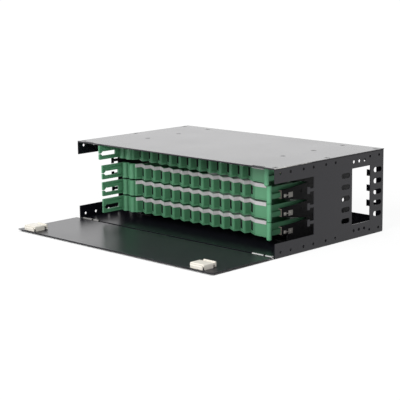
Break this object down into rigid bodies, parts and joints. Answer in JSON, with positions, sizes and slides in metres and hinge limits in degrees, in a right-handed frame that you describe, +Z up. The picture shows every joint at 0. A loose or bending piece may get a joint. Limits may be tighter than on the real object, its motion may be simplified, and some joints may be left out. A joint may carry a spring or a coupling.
{
  "type": "fibre patch panel",
  "caption": "Rack-mount fibre patch panel: black steel chassis with a drop-down door, green slide-out trays of angled adapter ports, cord arms and side cable openings.",
  "frame": {"origin": "centre of the underside of the chassis floor, between the side walls and half-way along them", "axes": "+X to the right seen from the front, along the hinge line; +Y to the back of the rack; +Z up"},
  "size_m": [0.438, 0.387, 0.1325],
  "materials": {
    "black_steel": "semi-gloss black powder coat",
    "green_plastic": "satin moulded green",
    "label_grey": "pale grey label strip",
    "cream_plastic": "cream moulding",
    "plated_steel": "zinc plate"
  },
  "bodies": {
    "chassis": {"chassis": "black_steel", "top_cover": "black_steel", "rail_bracket_right": "black_steel", "rail_bracket_left": "black_steel", "hinge_pin_right": "plated_steel", "hinge_fixed_right": "plated_steel", "hinge_pin_left": "plated_steel", "hinge_fixed_left": "plated_steel", "rail_right_4": "black_steel", "rail_left_4": "black_steel", "tray_catch_4": "plated_steel", "rail_right_3": "black_steel", "rail_left_3": "black_steel", "tray_catch_3": "plated_steel", "rail_right_2": "black_steel", "rail_left_2": "black_steel", "tray_catch_2": "plated_steel", "rail_right_1": "black_steel", "rail_left_1": "black_steel", "tray_catch_1": "plated_steel"},
    "door": {"door": "black_steel", "latch_housing_right": "cream_plastic", "latch_housing_left": "cream_plastic", "hinge_moving_right": "plated_steel", "hinge_moving_left": "plated_steel"},
    "latch_bolt_right": {"latch_bolt_right": "cream_plastic"},
    "latch_bolt_left": {"latch_bolt_left": "cream_plastic"},
    "tray_4": {"patch_tray_4": "green_plastic", "tray_post_4": "green_plastic", "label_strip_4": "label_grey"},
    "tray_3": {"patch_tray_3": "green_plastic", "tray_post_3": "green_plastic", "label_strip_3": "label_grey"},
    "tray_2": {"patch_tray_2": "green_plastic", "tray_post_2": "green_plastic", "label_strip_2": "label_grey"},
    "tray_1": {"patch_tray_1": "green_plastic", "tray_post_1": "green_plastic", "label_strip_1": "label_grey"}
  },
  "joints": [
    {"name": "door_hinge", "type": "hinge", "parent": "chassis", "child": "door", "pos_m": [0, -0.132, 0.0032], "axis": [1, 0, 0], "range_deg": [-90, 0]},
    {"name": "latch_slide_right", "type": "slide", "parent": "door", "child": "latch_bolt_right", "axis": [0, -1, 0], "range_m": [0, 0.005]},
    {"name": "latch_slide_left", "type": "slide", "parent": "door", "child": "latch_bolt_left", "axis": [0, -1, 0], "range_m": [0, 0.005]},
    {"name": "tray_slide_4", "type": "slide", "parent": "chassis", "child": "tray_4", "axis": [0, -1, 0], "range_m": [0, 0.11]},
    {"name": "tray_slide_3", "type": "slide", "parent": "chassis", "child": "tray_3", "axis": [0, -1, 0], "range_m": [0, 0.11]},
    {"name": "tray_slide_2", "type": "slide", "parent": "chassis", "child": "tray_2", "axis": [0, -1, 0], "range_m": [0, 0.11]},
    {"name": "tray_slide_1", "type": "slide", "parent": "chassis", "child": "tray_1", "axis": [0, -1, 0], "range_m": [-0.0056, 0.1044]}
  ]
}
